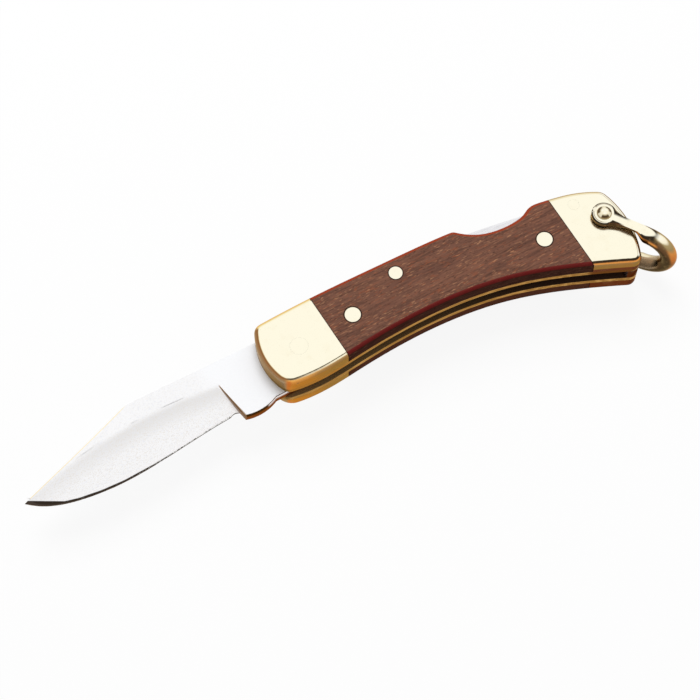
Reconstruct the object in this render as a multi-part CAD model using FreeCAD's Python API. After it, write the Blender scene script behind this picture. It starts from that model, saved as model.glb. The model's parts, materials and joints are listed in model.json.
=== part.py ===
import FreeCAD, Part
import math
import os

# Small lock-back folding knife with a brass frame, wooden scales and a bail, lying open on its side.
# Sizes are in millimetres and degrees. Everything is drawn about the blade's pivot axis, with +X
# towards the butt, +Y towards the back and +Z out of the left side. The whole knife is then moved
# so that the origin is under the middle of its box.

# Layers, from the middle plane outwards
blade_thickness = 2.4
side_clearance = 0.05
liner_thickness = 1.0
scale_thickness = 2.8
edge_roll = 0.95

# Pins and rivets, with the clearance of a fixed pin and of a turning one
pin_fit = 0.01
running_fit = 0.04
pivot_radius = 1.6
rivet_radius = 1.45
rocker_radius = 1.22
spacer_pin_radius = 1.0
bail_pin_radius = 0.9

# Blade: reach from the pivot axis to the point, and the outline along it
blade_reach = 53.8
tip_drop = 2.2
spine_height = 5.75
clip_length = 22.9
clip_hollow = 0.15
clip_corner_radius = 5.0
belly_depth = 6.63
belly_from_tip = 16.8
bow_depth = 4.6
bow_from_tip = 3.7
swell_depth = 6.0
swell_from_tip = 8.6
waist_edge_depth = 5.67
waist_edge_x = 26.1
heel_depth = 4.55
heel_x = 15.8
choil_width = 2.0
choil_rise = 0.3
choil_crest_from_heel = 1.2
kick_depth = 6.0
kick_x = 10.5
kick_length = 6.6
kick_corner_rise = 0.4
kick_rear_rise = 0.95

# Hollow grind: its line on the flat, its depth, what is left at the edge, and the honed bevel there
plunge_top_setback = 0.7
plunge_foot_setback = 2.38
grind_height = 1.65
grind_crest = 2.2
grind_clip_offset = 0.9
grind_hollow = 0.22
edge_thickness = 0.2
grind_stations = 7
tip_thickness = 0.9
bevel_reach = 1.0
bevel_angle_at_tip = 18.0
bevel_angle_at_heel = 26.0
bevel_land = 0.02

# Lock: the tang turns inside a circle, and a hook on the bar drops into its notch
tang_radius = 5.0
tang_foot_angle = 100.0
hook_lead = 1.5
hook_trail = 0.9
hook_depth = 0.67
hook_lift = 0.08
hook_floor_gap = 0.08
lock_play = 0.13
closed_angle = 171.0
rocker_x = 21.54
rocker_y = 4.54
rocker_boss = 2.25
bar_front_depth = 1.8
bar_mid_depth = 3.95
bar_tail_depth = 5.0
bar_end_gap = 0.3
bar_end_depth = 3.0

# Handle outline: nose, back, belly and butt
nose_reach = 6.85
nose_setback = 1.7
nose_corner_radius = 1.9
nose_face_radius = 3.9
back_height = 7.55
nose_top_drop = 0.5
nose_depth = 5.5
lobe_x = 2.5
lobe_depth = 6.0
neck_x = 9.5
neck_depth = 5.3
waist_x = 24.0
waist_depth = 4.45
hip_x = 39.5
hip_depth = 6.1
thigh_depth = 10.45
butt_room = 9.7
rump_drop = 3.6
rump_setback = 6.6
butt_top_drop = 5.95
butt_top_setback = 1.2
butt_depth = 14.0
butt_setback = 2.3
butt_bulge_y = -6.0
butt_top_radius = 2.3
butt_corner_radius = 1.6

# Thumb cut in the back of scales and liners
thumb_front_drop = 0.35
thumb_rear_drop = 2.47
thumb_end_inset = 1.9
thumb_length = 16.4
thumb_low_depth = 3.87
thumb_low_from_start = 8.4
thumb_shoulder = 4.5
thumb_front_rise = 0.86
thumb_rear_rise = 0.62
thumb_corner_radius = 1.6

# Bolsters and scales: their joint lines, and the rivets of the scales
front_joint_x = 6.35
front_joint_lean = 4.1
rear_bolster_length = 10.6
rear_joint_lean = 2.3
front_rivet_inset = 4.7
front_rivet_y = 0.91
rear_rivet_inset = 4.8
rear_rivet_y = -2.05

# Spacer at the butt, and the leaf spring seated in it
spacer_pin_setback = 7.3
spacer_pin_drop = 6.0
spacer_nose_depth = 9.3
tip_room = 2.4
slot_end_setback = 4.2
spring_thickness = 0.8
spring_width = 2.2
spring_length = 8.4
spring_seat = 3.2
spring_root_depth = 7.2
spring_contact_gap = 0.05
spring_bow_share = 0.2

# Bail and its pin
bail_pin_setback = 3.81
bail_pin_y = -3.03
bail_angle = -54.0
bail_reach = 14.8
bow_radius = 1.5
leg_swell_from_pin = 6.3
leg_width = 1.8
leg_swell_stations = 4
ear_radius = 2.25
ear_thickness = 1.2
ear_gap = 0.1
ear_round_to = 53.0
ear_chamfer = 0.3
neck_from_pin = 4.0
tail_from_pin = 6.0
tail_width = 1.1
dome_radius = 1.35
dome_height = 0.8
dome_gap = 0.05

# Sizes that follow from the ones above
slot_width = blade_thickness + 2 * side_clearance
liner_face = slot_width / 2 + liner_thickness
cover_face = liner_face + scale_thickness
butt_reach = blade_reach + butt_room
rear_joint_x = butt_reach - rear_bolster_length
thumb_end_x = rear_joint_x - thumb_end_inset
thumb_start_x = thumb_end_x - thumb_length
thumb_low_x = thumb_start_x + thumb_low_from_start
bar_end_x = thumb_end_x - bar_end_gap
hook_radius = tang_radius + hook_lift
notch_radius = tang_radius - hook_depth - hook_floor_gap
ear_inside = cover_face + ear_gap
ear_outside = ear_inside + ear_thickness
bend_radius = ear_outside - bow_radius
bend_from_pin = bail_reach - ear_outside
far = 4 * butt_reach

pivot = (0.0, 0.0)
rocker = (rocker_x, rocker_y)
front_rivet = (front_joint_x + front_rivet_inset, front_rivet_y)
rear_rivet = (rear_joint_x - rear_rivet_inset, rear_rivet_y)
bail_pin_at = (butt_reach - bail_pin_setback, bail_pin_y)
spacer_pin_at = (butt_reach - spacer_pin_setback, back_height - spacer_pin_drop)


def point(x, y, z=0.0):
    return FreeCAD.Vector(x, y, z)


up = point(0, 0, 1)
centre = point(0, 0, 0)


def line(a, b):
    return Part.LineSegment(a, b).toShape()


def arc(a, through, b):
    return Part.Arc(a, through, b).toShape()


def spline(points, **tangents):
    curve = Part.BSplineCurve()
    curve.interpolate(Points=points, **tangents)
    return curve


def along(curve, x):
    """Parameter at which a curve that runs in X reaches x."""
    low = curve.FirstParameter
    high = curve.LastParameter
    rising = curve.value(high).x > curve.value(low).x
    for _ in range(60):
        middle = (low + high) / 2
        if (curve.value(middle).x < x) == rising:
            low = middle
        else:
            high = middle
    return low


def spaced(curve, first, last):
    """Points along a curve from one parameter to another, one for each station of the grind."""
    return [curve.value(first + (last - first) * i / grind_stations) for i in range(grind_stations + 1)]


def prism(edges, bottom, top):
    """Solid with a closed outline in the XY plane, from height bottom to height top."""
    face = Part.Face(Part.Wire(Part.__sortEdges__(edges)))
    face.translate(point(0, 0, bottom))
    return face.extrude(point(0, 0, top - bottom))


def cylinder(at, radius, bottom, top):
    return Part.makeCylinder(radius, top - bottom, point(at[0], at[1], bottom))


def bored(shape, pins, clearance):
    for at, radius in pins:
        shape = shape.cut(cylinder(at, radius + clearance, -far, far))
    return shape


def one_solid(shape):
    return shape.removeSplitter().Solids[0]


def other_side(shape):
    return shape.mirror(centre, up)


# Back line from nose to butt, used by the frame, the lock bar and the spacer alike
nose_top = point(nose_setback - nose_reach, back_height - nose_top_drop)
nose_bottom = point(nose_setback - nose_reach, -nose_depth)
butt_top = point(butt_reach - butt_top_setback, back_height - butt_top_drop)
butt_bottom = point(butt_reach - butt_setback, -butt_depth)
back_curve = spline([
    nose_top,
    point(front_joint_x, back_height),
    point(rocker_x, back_height),
    point(thumb_start_x, back_height - thumb_front_drop),
    point(thumb_end_x, back_height - thumb_rear_drop),
    point(butt_reach - rump_setback, back_height - rump_drop),
    butt_top,
])
belly_curve = spline([
    nose_bottom,
    point(lobe_x, -lobe_depth),
    point(neck_x, -neck_depth),
    point(waist_x, -waist_depth),
    point(hip_x, -hip_depth),
    point(rear_joint_x, -thigh_depth),
    butt_bottom,
])


def nose_and_butt():
    nose = arc(nose_top, point(-nose_reach, (nose_top.y + nose_bottom.y) / 2), nose_bottom)
    butt = arc(butt_bottom, point(butt_reach, butt_bulge_y), butt_top)
    return [nose, belly_curve.toShape(), butt]


def thumb_cut_edges():
    """The back with the thumb cut: nose to cut, the cut itself, and cut to butt."""
    start = along(back_curve, thumb_start_x)
    end = along(back_curve, thumb_end_x)
    cut_start = back_curve.value(start)
    cut_end = back_curve.value(end)
    low = point(thumb_low_x, back_height - thumb_low_depth)
    cut = spline(
        [
            cut_start,
            low + point(-thumb_shoulder, thumb_front_rise),
            low,
            low + point(thumb_shoulder, thumb_rear_rise),
            cut_end,
        ],
        InitialTangent=point(1, -1),
        FinalTangent=back_curve.tangent(end)[0],
    )
    front = Part.Edge(back_curve, back_curve.FirstParameter, start)
    rear = Part.Edge(back_curve, end, back_curve.LastParameter)
    return [front, cut.toShape(), rear], cut_start


def upright_edge(plate, corner):
    """The one upright edge of a plate that stands at a corner."""
    for edge in plate.Edges:
        off = math.hypot(edge.CenterOfMass.x - corner.x, edge.CenterOfMass.y - corner.y)
        if abs(edge.tangentAt(edge.FirstParameter).z) > 0.999 and off < 0.01:
            return edge


def round_corners(plate, corners):
    for corner, radius in corners:
        plate = plate.makeFillet(radius, [upright_edge(plate, corner)])
    return plate


frame_corners = [
    (nose_top, nose_corner_radius),
    (butt_top, butt_top_radius),
    (butt_bottom, butt_corner_radius),
]


def frame_plate(bottom, top, top_radius=nose_corner_radius):
    """Plate with the outline of scales and liners, thumb cut included.

    The lower corner of the nose may widen towards the plate's top.
    """
    back, cut_corner = thumb_cut_edges()
    plate = prism(nose_and_butt() + back, bottom, top)
    edge = upright_edge(plate, nose_bottom)
    radii = [nose_corner_radius, top_radius]
    if edge.Vertexes[0].Z > edge.Vertexes[1].Z:
        radii.reverse()
    plate = plate.makeFillet(radii[0], radii[1], [edge])
    return round_corners(plate, frame_corners + [(cut_corner, thumb_corner_radius)])


def plain_plate(bottom, top):
    """Plate with the whole outline and no thumb cut."""
    plate = prism(nose_and_butt() + [back_curve.toShape()], bottom, top)
    return round_corners(plate, frame_corners + [(nose_bottom, nose_corner_radius)])


def ahead_of(x, lean):
    """Half space in front of a joint line that crosses the handle at x."""
    block = Part.makeBox(far, 2 * far, 2 * far, point(-far, -far, -far))
    block.rotate(centre, up, lean)
    block.translate(point(x, 0))
    return block


frame_pins = [
    (pivot, pivot_radius),
    (front_rivet, rivet_radius),
    (rocker, rocker_radius),
    (rear_rivet, rivet_radius),
    (spacer_pin_at, spacer_pin_radius),
    (bail_pin_at, bail_pin_radius),
]


def liner():
    return one_solid(bored(frame_plate(slot_width / 2, liner_face), frame_pins, pin_fit))


def covers():
    """Front bolster, scale and rear bolster of the left side, rolled together."""
    cover = frame_plate(liner_face, cover_face, nose_face_radius)
    rim = [e for e in cover.Edges if all(abs(v.Z - cover_face) < 0.001 for v in e.Vertexes)]
    cover = bored(cover.makeFillet(edge_roll, rim), frame_pins, pin_fit)
    front = cover.common(ahead_of(front_joint_x, front_joint_lean))
    rear = cover.cut(ahead_of(rear_joint_x, rear_joint_lean))
    scale = cover.cut(ahead_of(front_joint_x, front_joint_lean))
    scale = scale.common(ahead_of(rear_joint_x, rear_joint_lean))
    return one_solid(front), one_solid(scale), one_solid(rear)


# Blade
tip = point(-blade_reach, -tip_drop)
clip_corner = point(clip_length - blade_reach, spine_height)
heel = point(-heel_x, -heel_depth)
edge_curve = spline([
    tip,
    point(bow_from_tip - blade_reach, -bow_depth),
    point(swell_from_tip - blade_reach, -swell_depth),
    point(belly_from_tip - blade_reach, -belly_depth),
    point(-waist_edge_x, -waist_edge_depth),
    heel,
])


def kick_edges(choil_end, tang_foot):
    """Underside of the ricasso, from the choil to the tang."""
    corner = point(-kick_x - kick_length / 2, kick_corner_rise - kick_depth)
    low = point(-kick_x, -kick_depth)
    rear = point(-kick_x + kick_length / 2, kick_rear_rise - kick_depth)
    return [
        line(choil_end, corner),
        arc(corner, low, rear),
        line(rear, tang_foot),
    ]


def blade_outline():
    shoulder = point(-hook_lead - lock_play, spine_height)
    shoulder_foot = point(shoulder.x, math.sqrt(tang_radius ** 2 - shoulder.x ** 2))
    foot = math.radians(tang_foot_angle)
    tang_foot = point(tang_radius * math.cos(foot), -tang_radius * math.sin(foot))
    clip_middle = (clip_corner + tip) * 0.5 - point(0, clip_hollow)
    choil_end = heel + point(choil_width, -choil_rise / 2)
    choil_top = heel + point(choil_crest_from_heel, choil_rise)
    return [
        line(shoulder, clip_corner),
        arc(clip_corner, clip_middle, tip),
        edge_curve.toShape(),
        arc(heel, choil_top, choil_end),
        *kick_edges(choil_end, tang_foot),
        arc(tang_foot, point(tang_radius, 0), shoulder_foot),
        line(shoulder_foot, shoulder),
    ]


def hook_seat():
    """Room that the hook takes up in the tang, with play on both sides and below."""
    front = -hook_lead - lock_play
    rear = hook_trail + lock_play
    top = 2 * tang_radius
    front_floor = point(front, math.sqrt(notch_radius ** 2 - front ** 2))
    rear_floor = point(rear, math.sqrt(notch_radius ** 2 - rear ** 2))
    return prism([
        line(point(front, top), front_floor),
        arc(front_floor, point(0, notch_radius), rear_floor),
        line(rear_floor, point(rear, top)),
        line(point(rear, top), point(front, top)),
    ], -far, far)


def half_thickness(x):
    """Half of the blade's thickness at its flat, which tapers from the clip's corner to the point."""
    share = max(0, (clip_corner.x - x) / (clip_corner.x - tip.x))
    return (blade_thickness + (tip_thickness - blade_thickness) * share) / 2


def taper_cut():
    """Wedge that thins one side of the blade towards its point."""
    end_x = 2 * tip.x
    wedge = Part.Face(Part.makePolygon([
        point(clip_corner.x, -far, half_thickness(clip_corner.x)),
        point(end_x, -far, half_thickness(end_x)),
        point(end_x, -far, blade_thickness),
        point(clip_corner.x, -far, blade_thickness),
        point(clip_corner.x, -far, half_thickness(clip_corner.x)),
    ]))
    return wedge.extrude(point(0, 2 * far, 0))


def wheel_cut(tops, feet, hollow):
    """What a wheel takes off one side of the blade, between an upper line and a lower one."""
    sections = []
    for top, foot in zip(tops, feet):
        sag = hollow * top.distanceToPoint(foot) / belly_depth
        middle = (top + foot) * 0.5 - point(0, 0, sag)
        sections.append(Part.Wire(arc(top, middle, foot) if hollow else line(top, foot)))
    skin = Part.makeLoft(sections, False, False)
    return skin.Faces[0].extrude(point(0, 0, blade_thickness))


def grind_cut():
    """Hollow from the line on the flat down to the edge."""
    over = edge_thickness
    plunge_top = point(plunge_top_setback - heel_x, grind_height)
    plunge_foot = point(plunge_foot_setback - heel_x, -kick_depth)
    under_clip = (clip_corner + tip) * 0.5 - point(0, grind_clip_offset)
    grind_line = spline([
        plunge_top,
        point(clip_corner.x, grind_crest),
        under_clip,
        tip + point(-over, over),
    ])
    tops = spaced(grind_line, grind_line.FirstParameter, grind_line.LastParameter)
    feet = spaced(edge_curve, edge_curve.LastParameter, edge_curve.FirstParameter)
    feet = [plunge_foot] + [p - point(0, 2 * over) for p in feet[1:-1]] + [tip - point(over, 3 * over)]
    for top, foot in zip(tops, feet):
        top.z = half_thickness(top.x)
        foot.z = edge_thickness / 2
    return wheel_cut(tops, feet, grind_hollow)


def bevel_cut():
    """Honed bevel along the edge, flatter and so wider towards the point."""
    first = edge_curve.FirstParameter
    last = edge_curve.LastParameter
    tops = []
    feet = []
    for i in range(-1, grind_stations + 1):
        share = max(0, i / grind_stations)
        at = edge_curve.value(first + (last - first) * share)
        along_edge = edge_curve.tangent(first + (last - first) * share)[0]
        if i < 0:
            at -= along_edge * bevel_reach
        inward = point(-along_edge.y, along_edge.x) * bevel_reach
        angle = bevel_angle_at_tip + (bevel_angle_at_heel - bevel_angle_at_tip) * share
        rise = point(0, 0, bevel_reach * math.tan(math.radians(angle)))
        land = point(0, 0, bevel_land)
        tops.append(at + inward + rise + land)
        feet.append(at - inward - rise + land)
    return wheel_cut(tops, feet, 0)


def blade():
    plate = prism(blade_outline(), -blade_thickness / 2, blade_thickness / 2)
    plate = round_corners(plate, [(clip_corner, clip_corner_radius)])
    open_notch = hook_seat()
    closed_notch = hook_seat()
    closed_notch.rotate(centre, up, -closed_angle)
    plate = plate.cut(open_notch).cut(closed_notch)
    for cut in (taper_cut(), grind_cut(), bevel_cut()):
        plate = plate.cut(cut).cut(other_side(cut))
    return one_solid(bored(plate, [(pivot, pivot_radius)], running_fit))


def bar_underside(x):
    """Height of the lock bar's underside behind its boss."""
    tail_x = thumb_low_x
    share = (x - rocker_x) / (tail_x - rocker_x)
    return back_height - bar_mid_depth - share * (bar_tail_depth - bar_mid_depth)


def lock_bar():
    """Rocking bar, drawn with its hook riding on the tang's circle."""
    hook_front = point(-hook_lead, math.sqrt(hook_radius ** 2 - hook_lead ** 2))
    hook_rear = point(hook_trail, math.sqrt(hook_radius ** 2 - hook_trail ** 2))
    relief = point(hook_trail, back_height - bar_front_depth)
    kick_end = point(kick_x + kick_length / 2 - hook_trail, back_height - bar_front_depth)
    boss_front = point(rocker_x - 2 * rocker_boss, back_height - bar_mid_depth)
    tail = point(thumb_low_x, bar_underside(thumb_low_x))
    end_foot = point(bar_end_x, back_curve.value(along(back_curve, bar_end_x)).y - bar_end_depth)
    region = prism([
        line(point(-hook_lead, 2 * back_height), hook_front),
        arc(hook_front, point(0, hook_radius), hook_rear),
        line(hook_rear, relief),
        line(relief, kick_end),
        line(kick_end, boss_front),
        line(boss_front, point(rocker_x, bar_underside(rocker_x))),
        line(point(rocker_x, bar_underside(rocker_x)), tail),
        line(tail, end_foot),
        line(end_foot, point(bar_end_x, 2 * back_height)),
        line(point(bar_end_x, 2 * back_height), point(-hook_lead, 2 * back_height)),
    ], -blade_thickness / 2, blade_thickness / 2)
    bar = region.common(plain_plate(-far, far))
    bar = bar.fuse(cylinder(rocker, rocker_boss, -blade_thickness / 2, blade_thickness / 2))
    return one_solid(bored(bar, [(rocker, rocker_radius)], running_fit))


def closed_tip():
    return FreeCAD.Rotation(up, closed_angle).multVec(tip)


def spring_shape(clearance, width):
    """Leaf that rises from its seat in the spacer to the tail of the lock bar."""
    half = spring_thickness / 2 + clearance
    root = point(bar_end_x + bar_end_gap + spring_seat + clearance, back_height - spring_root_depth)
    mouth = point(bar_end_x + bar_end_gap, root.y)
    tip_x = mouth.x - spring_length
    share = (tip_x - thumb_low_x) / (bar_end_x - thumb_low_x)
    end_y = back_curve.value(along(back_curve, bar_end_x)).y - bar_end_depth
    tail_y = bar_underside(thumb_low_x)
    tip_y = tail_y + share * (end_y - tail_y) - spring_contact_gap - spring_thickness / 2
    end = point(tip_x, tip_y)
    raised = (mouth + end) * 0.5 + point(0, (end.y - mouth.y) * spring_bow_share)
    offset = point(0, half)
    return prism([
        line(root + offset, mouth + offset),
        arc(mouth + offset, raised + offset, end + offset),
        line(end + offset, end - offset),
        arc(end - offset, raised - offset, mouth - offset),
        line(mouth - offset, root - offset),
        line(root - offset, root + offset),
    ], -width / 2, width / 2)


def lock_spring():
    return one_solid(spring_shape(0, spring_width))


def rear_spacer():
    """Block between the liners at the butt, hollowed for the point of the shut blade."""
    front = bar_end_x + bar_end_gap
    shut_tip = closed_tip()
    nose_foot = point(front, back_height - spacer_nose_depth)
    behind_tip = shut_tip + point(tip_room, tip_room / 2)
    slot_end_x = butt_reach - slot_end_setback
    slot_end = belly_curve.value(along(belly_curve, slot_end_x))
    below = point(slot_end.x + tip_room, slot_end.y - 2 * butt_depth)
    well = prism([
        line(point(-far, nose_foot.y), nose_foot),
        arc(nose_foot, behind_tip, slot_end),
        line(slot_end, below),
        line(below, point(-far, below.y)),
        line(point(-far, below.y), point(-far, nose_foot.y)),
    ], -far, far)
    block = plain_plate(-slot_width / 2, slot_width / 2)
    block = block.cut(ahead_of(front, 0)).cut(well).cut(spring_shape(pin_fit, slot_width))
    pins = [(spacer_pin_at, spacer_pin_radius), (bail_pin_at, bail_pin_radius)]
    return one_solid(bored(block, pins, pin_fit))


def rod_ring(reach, share):
    """Circle across the bail's rod, which grows from the leg's at share 0 to the bow's at share 1."""
    leg_radius = leg_width / 2
    radius = leg_radius + (bow_radius - leg_radius) * share
    middle = ear_inside + leg_radius
    middle += (bend_radius - middle) * share
    return Part.Wire(Part.makeCircle(radius, point(reach, 0, middle), point(1, 0, 0)))


def bail_rod():
    """Leg forged flat on the outside, and half of the bow that it swells into."""
    leg = Part.Face(rod_ring(bail_pin_radius, 0)).extrude(point(leg_swell_from_pin - bail_pin_radius, 0))
    rings = []
    for step in range(leg_swell_stations + 1):
        share = step / leg_swell_stations
        reach = leg_swell_from_pin + (bend_from_pin - leg_swell_from_pin) * share
        rings.append(rod_ring(reach, share * share * (3 - 2 * share)))
    swell = Part.makeLoft(rings, True, False)
    end = max(swell.Faces, key=lambda face: face.CenterOfMass.x)
    bow = end.revolve(point(bend_from_pin, 0, 0), point(0, 1, 0), 90)
    outside = Part.makeBox(far, far, far, point(-far / 2, -far / 2, ear_outside))
    return leg.cut(outside).fuse(swell.cut(outside)).fuse(bow)


def bail_ear():
    """Round plate under the pin's head, with a tail that runs into the leg."""
    turn = math.radians(ear_round_to)
    tail = point(tail_from_pin, tail_width / 2)
    side = spline([
        point(ear_radius * math.cos(turn), ear_radius * math.sin(turn)),
        point(neck_from_pin, leg_width / 2),
        tail,
    ], InitialTangent=point(math.sin(turn), -math.cos(turn)), FinalTangent=point(1, 0))
    flank = side.toShape()
    start = side.value(side.FirstParameter)
    ear = prism([
        flank,
        flank.mirror(centre, point(0, 1, 0)),
        arc(start, point(-ear_radius, 0), point(start.x, -start.y)),
        line(tail, point(tail.x, -tail.y)),
    ], ear_inside, ear_outside)
    rim = [e for e in ear.Edges if e.BoundBox.ZLength < 0.01 and e.Length > tail_width + 0.01]
    return ear.makeChamfer(ear_chamfer, rim)


def bail():
    """Loop bent from one rod: flat ears, thin legs and a thick round bow."""
    side = bail_rod().fuse(bail_ear())
    body = bored(side.fuse(other_side(side)), [(pivot, bail_pin_radius)], running_fit)
    body.rotate(centre, up, bail_angle)
    body.translate(point(*bail_pin_at))
    return body.Solids[0]


def bail_pin():
    """Shaft through butt and ears, peened to a dome over each ear."""
    shoulder = ear_outside + dome_gap
    sphere = (dome_radius ** 2 + dome_height ** 2) / (2 * dome_height)
    half_angle = math.asin(dome_radius / sphere) / 2
    drop = sphere * (1 - math.cos(half_angle))
    on_dome = point(sphere * math.sin(half_angle), 0, shoulder + dome_height - drop)
    cap = Part.Wire([
        line(point(0, 0, 0), point(bail_pin_radius, 0, 0)),
        line(point(bail_pin_radius, 0, 0), point(bail_pin_radius, 0, shoulder)),
        line(point(bail_pin_radius, 0, shoulder), point(dome_radius, 0, shoulder)),
        arc(point(dome_radius, 0, shoulder), on_dome, point(0, 0, shoulder + dome_height)),
        line(point(0, 0, shoulder + dome_height), point(0, 0, 0)),
    ])
    half = Part.Face(cap).revolve(centre, up, 360)
    pin = half.fuse(other_side(half))
    pin.translate(point(*bail_pin_at))
    return one_solid(pin)


def knife():
    front_bolster, scale, rear_bolster = covers()
    pieces = {
        "blade": blade(),
        "pivot_pin": cylinder(pivot, pivot_radius, -cover_face, cover_face),
        "lock_bar": lock_bar(),
        "rocker_pin": cylinder(rocker, rocker_radius, -cover_face, cover_face),
        "lock_spring": lock_spring(),
        "rear_spacer": rear_spacer(),
        "spacer_pin": cylinder(spacer_pin_at, spacer_pin_radius, -cover_face, cover_face),
        "bail": bail(),
        "bail_pin": bail_pin(),
    }
    left = {
        "liner": liner(),
        "front_bolster": front_bolster,
        "scale": scale,
        "rear_bolster": rear_bolster,
        "front_rivet": cylinder(front_rivet, rivet_radius, slot_width / 2, cover_face),
        "rear_rivet": cylinder(rear_rivet, rivet_radius, slot_width / 2, cover_face),
    }
    for name, shape in left.items():
        pieces["left_" + name] = shape
        pieces["right_" + name] = other_side(shape)
    return pieces


pieces = knife()
box = Part.makeCompound(list(pieces.values())).optimalBoundingBox(False)
to_frame = point(-box.Center.x, -box.Center.y, -box.ZMin)
os.makedirs("parts", exist_ok=True)
for name, shape in pieces.items():
    shape.translate(to_frame)
    shape.exportStep("parts/" + name + ".step")
    print(name, "valid", shape.isValid(), "solids", len(shape.Solids), "volume", round(shape.Volume, 2))

print("box", round(box.XLength, 3), round(box.YLength, 3), round(box.ZLength, 3))
for name, at in (("pivot", pivot), ("rocker", rocker), ("bail pin", bail_pin_at)):
    place = to_frame + point(*at)
    print(name, round(place.x, 4), round(place.y, 4), "middle plane", round(place.z, 4))
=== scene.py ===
import json
import math

import bpy
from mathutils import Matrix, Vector

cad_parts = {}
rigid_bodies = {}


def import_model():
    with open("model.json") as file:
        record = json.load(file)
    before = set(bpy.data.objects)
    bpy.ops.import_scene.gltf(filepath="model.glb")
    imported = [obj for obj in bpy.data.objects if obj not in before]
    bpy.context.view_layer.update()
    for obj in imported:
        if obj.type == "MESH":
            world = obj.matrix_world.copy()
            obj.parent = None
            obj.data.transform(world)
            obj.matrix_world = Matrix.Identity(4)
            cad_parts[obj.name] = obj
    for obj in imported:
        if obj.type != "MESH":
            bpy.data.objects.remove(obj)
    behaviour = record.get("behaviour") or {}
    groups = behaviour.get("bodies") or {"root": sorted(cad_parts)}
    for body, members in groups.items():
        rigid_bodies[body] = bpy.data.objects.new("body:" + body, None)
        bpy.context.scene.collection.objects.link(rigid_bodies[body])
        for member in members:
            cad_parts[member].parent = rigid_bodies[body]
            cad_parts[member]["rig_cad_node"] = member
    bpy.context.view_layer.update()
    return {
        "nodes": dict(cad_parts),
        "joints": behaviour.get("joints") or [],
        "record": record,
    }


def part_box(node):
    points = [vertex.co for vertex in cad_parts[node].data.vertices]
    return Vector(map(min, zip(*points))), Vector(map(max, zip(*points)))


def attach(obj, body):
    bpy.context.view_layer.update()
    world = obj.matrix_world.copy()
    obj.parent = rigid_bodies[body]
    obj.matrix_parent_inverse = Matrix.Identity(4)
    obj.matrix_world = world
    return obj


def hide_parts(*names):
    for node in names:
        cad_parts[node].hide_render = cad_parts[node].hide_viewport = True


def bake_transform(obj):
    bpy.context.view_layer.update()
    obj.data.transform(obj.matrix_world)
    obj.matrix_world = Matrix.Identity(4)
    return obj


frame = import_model()
mm = 0.001
jointAt = {joint["name"]: Vector(joint["pos_m"]) for joint in frame["joints"]}
pivot = jointAt["blade_fold"]
bailPin = jointAt["bail_swing"]
print("frame loaded,", len(frame["nodes"]), "nodes")


class Val:                                   # a socket that can stand in a sum
    def __init__(self, finish, socket):
        self.finish = finish
        self.socket = socket

    def calc(self, operation, first, second=0.0):
        return self.finish.node("ShaderNodeMath", {"operation": operation}, {0: first, 1: second})

    def __add__(self, other):
        return self.calc("ADD", self, other)

    def __sub__(self, other):
        return self.calc("SUBTRACT", self, other)

    def __rsub__(self, other):
        return self.calc("SUBTRACT", other, self)

    def __neg__(self):
        return self.calc("SUBTRACT", 0.0, self)

    def __mul__(self, other):
        return self.calc("MULTIPLY", self, other)

    def __truediv__(self, other):
        return self.calc("DIVIDE", self, other)

    def __rtruediv__(self, other):
        return self.calc("DIVIDE", other, self)

    def __pow__(self, other):
        return self.calc("POWER", self, other)

    def __abs__(self):
        return self.calc("ABSOLUTE", self)

    def orMore(self, other):
        return self.calc("MAXIMUM", self, other)

    def orLess(self, other):
        return self.calc("MINIMUM", self, other)

    __radd__ = __add__
    __rmul__ = __mul__


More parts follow.
